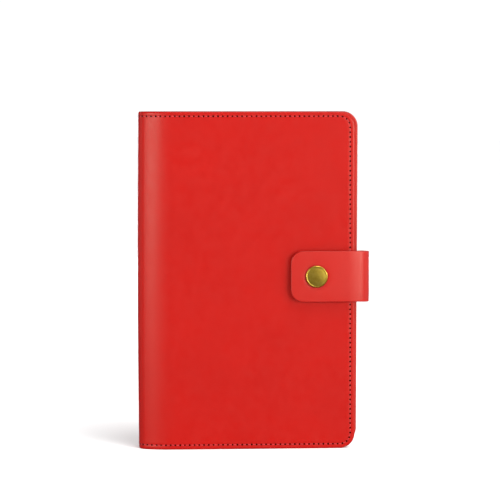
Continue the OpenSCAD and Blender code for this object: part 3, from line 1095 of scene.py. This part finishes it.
def make_pages():
    """The page block, leaf by leaf, round at the spine and hollow at the fore-edge."""
    leaves, filled, hollow = 62, 0.80, 1.8
    corner, cut = 0.8, 0.23
    rng = random.Random(5)
    heap = Heap()
    thick = (block_hi.y - block_lo.y) / leaves
    for i in range(leaves):
        y0 = block_lo.y + thick * i
        y1 = y0 + thick * filled
        t = ((y0 + y1) / 2 - BLOCK_MID_Y) / BLOCK_HALF_T
        x0 = block_front_edge((y0 + y1) / 2)
        x1 = block_hi.x - hollow * (1 - t * t) - rng.uniform(0, 0.22)
        z0 = block_lo.z + rng.uniform(0, 0.16)
        z1 = block_hi.z - rng.uniform(0, 0.16)
        outline = [(x0, z0), (x1 - corner, z0), (x1 - cut, z0 + cut), (x1, z0 + corner)]
        outline += [(x1, z1 - corner), (x1 - cut, z1 - cut), (x1 - corner, z1), (x0, z1)]
        n = len(outline)
        points = [Vector((x, y0, z)) for x, z in outline] + [Vector((x, y1, z)) for x, z in outline]
        faces = [tuple(range(n)), tuple(range(2 * n - 1, n - 1, -1))]
        faces += [(k, (k + 1) % n, n + (k + 1) % n, n + k) for k in range(n)]
        heap.add(points, faces, rng.uniform(0.3, 1.0))
    piece = heap.piece("page_leaves", PAPER, sharp=20)
    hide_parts("page_block")
    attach(piece, "back")


def make_headbands():
    """Two ridged bands of silk at the head and tail of the block's spine."""
    radius = (headband_hi.x - headband_lo.x) / 2
    ahead = 1.6 + radius
    ys = spread(headband_lo.y, headband_hi.y, 0.16)
    heap = Heap()
    for z in (headband_lo.z + radius, headband_hi.z - radius):
        stations = []
        for i, y in enumerate(ys):
            fat = radius * (0.93 if i % 3 == 0 else 1.0)
            x = min(block_front_edge(y) + ahead, headband_hi.x - radius)
            stations.append((Vector((x, y, z)), Vector((1, 0, 0)), Vector((0, 0, 1)), fat, fat))
        points, faces = tube(stations, 10)
        heap.add(points, faces)
    piece = heap.piece("headband_silk", SILK, sharp=60)
    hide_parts("headbands")
    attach(piece, "back")


# ---- stage ----

FLOOR_R = 9.0
FLOOR_GAP = 0.05
FLOOR_SIDES = 64
FLOOR_GLOW = 0.175
BACKDROP_GLOW = 1.05
SOFTBOX_DISTANCE = 1.6


def stage_piece(name, points, faces, colour, glow):
    """A piece of the studio in plain matt white, with some light of its own."""
    mesh = bpy.data.meshes.new(name)
    mesh.from_pydata(points, [], faces)
    obj = bpy.data.objects.new(name, mesh)
    bpy.context.scene.collection.objects.link(obj)
    s = Shader(name + "_white", Specular_IOR_Level=0.0, Roughness=1.0, Emission_Strength=glow)
    for socket, value in (("Base Color", colour), ("Emission Color", 1.0)):
        s.shader.inputs[socket].default_value = (value, value, value, 1)
    mesh.materials.append(s.material)
    obj.visible_glossy = False
    return obj


def add_floor():
    """A wide white floor that the cover stands on, and a white backdrop all round."""
    n = FLOOR_SIDES
    z = ORIGIN.z - FLOOR_GAP * MM
    rim = [(FLOOR_R * math.cos(TAU * k / n), FLOOR_R * math.sin(TAU * k / n), z) for k in range(n)]
    stage_piece("floor", rim, [tuple(range(n))], 0.80, FLOOR_GLOW)
    wall = rim + [(x, y, FLOOR_R) for x, y, _ in rim]
    faces = [(k, (k + 1) % n, n + (k + 1) % n, n + k) for k in range(n)] + [tuple(range(n, 2 * n))]
    backdrop = stage_piece("backdrop", wall, faces, 0.0, BACKDROP_GLOW)
    for ray in ("diffuse", "transmission", "shadow"):
        setattr(backdrop, "visible_" + ray, False)


def aim(light, azimuth, elevation, distance):
    """Turns a light towards the cover. Azimuth 0 is in front of it and 90 to its right."""
    bpy.context.scene.collection.objects.link(light)
    a, e = math.radians(azimuth), math.radians(elevation)
    target = row_point((FRONT_W / 2, 0, HEIGHT / 2))
    out = Vector((math.sin(a) * math.cos(e), -math.cos(a) * math.cos(e), math.sin(e)))
    light.location = target + out * distance
    light.rotation_mode = "QUATERNION"
    light.rotation_quaternion = out.to_track_quat("Z", "Y")


def softbox(name, azimuth, elevation, width, height, power):
    """A rectangular light, in degrees, metres and watts."""
    data = bpy.data.lights.new(name, "AREA")
    data.shape = "RECTANGLE"
    data.size, data.size_y = width, height
    data.energy = power
    aim(bpy.data.objects.new(name, data), azimuth, elevation, SOFTBOX_DISTANCE)


def add_lights():
    """A white sky that is brighter overhead, a soft key light and five softboxes."""
    world = bpy.data.worlds.new("studio")
    bpy.context.scene.world = world
    world.use_nodes = True
    nodes, links = world.node_tree.nodes, world.node_tree.links
    direction = nodes.new("ShaderNodeTexCoord").outputs["Generated"]
    split = nodes.new("ShaderNodeSeparateXYZ")
    links.new(direction, split.inputs["Vector"])
    height = nodes.new("ShaderNodeMapRange")
    height.interpolation_type = "SMOOTHSTEP"
    set_range(height, 0.1, 0.9, 0.08, 0.55)
    links.new(split.outputs["Z"], height.inputs["Value"])
    links.new(height.outputs["Result"], nodes["Background"].inputs["Strength"])
    nodes["Background"].inputs["Color"].default_value = (1, 1, 1, 1)
    key = bpy.data.lights.new("key", "SUN")
    key.energy = 2.3
    key.angle = math.radians(34)
    aim(bpy.data.objects.new("key", key), 38, 62, 3)
    softbox("left_softbox", -31.5, 9, 0.24, 0.6, 14.5)
    softbox("right_softbox", 43, 8, 1.2, 0.6, 30)
    softbox("back_softbox", 180, 4, 1.2, 0.5, 11)
    softbox("left_fill", -86, 11, 1.5, 1.0, 5.5)
    softbox("right_fill", 102, 8, 1.2, 1.2, 5.0)
    bpy.context.scene.view_settings.view_transform = "Standard"


def add_camera():
    """A long lens a little above the cover's top, tilted down and turned slightly to its right."""
    tilt, turn = math.radians(4.268), math.radians(3.398)
    data = bpy.data.cameras.new("camera")
    data.sensor_width = 36
    data.lens = 156.5
    camera = bpy.data.objects.new("camera", data)
    bpy.context.scene.collection.objects.link(camera)
    camera.location = row_point((-11.08, -1429.65, 237.5))
    camera.rotation_euler = (math.pi / 2 - tilt, 0, -turn)
    bpy.context.scene.camera = camera


# ---- everything ----

add_camera()
make_pages()
front_leather = make_leather("front_leather", FRONT, FRONT_PLAN, ("front_cover", "spine_cover"))
back_leather = make_leather("back_leather", BACK, BACK_PLAN, ("back_cover",))
make_lining("front_lining_suede", FRONT, FRONT_PLAN, ("front_lining", "spine_lining"))
make_lining("back_lining_suede", BACK, BACK_PLAN, ("back_lining",))
front_pocket_face, front_pocket_u0 = make_pocket(
    "front_pocket_leather", FRONT, FRONT_PLAN, "front", "front_pocket")
back_pocket_face, back_pocket_u0 = make_pocket(
    "back_pocket_leather", BACK, BACK_PLAN, "back", "back_pocket")
make_threads("front_threads", FRONT, FRONT_PLAN, front_pocket_face, front_pocket_u0,
             ("front_stitching", "spine_stitching"))
make_threads("back_threads", BACK, BACK_PLAN, back_pocket_face, back_pocket_u0, ("back_stitching",))
lower_top = book_box("lower_card_slot")[1].z
upper_face = make_card_slot("upper_card_slot_leather", "upper_card_slot")
lower_face = make_card_slot("lower_card_slot_leather", "lower_card_slot")
make_slot_threads("upper_slot_threads", "upper_card_slot", upper_face, lower_top)
make_slot_threads("lower_slot_threads", "lower_card_slot", lower_face, 0)
make_strap()
make_snap()
make_case("front_case_cloth", FRONT, ("notebook_front_board", "notebook_spine"))
make_case("back_case_cloth", BACK, ("notebook_back_board",))
make_endpapers()
make_headbands()
add_floor()
add_lights()
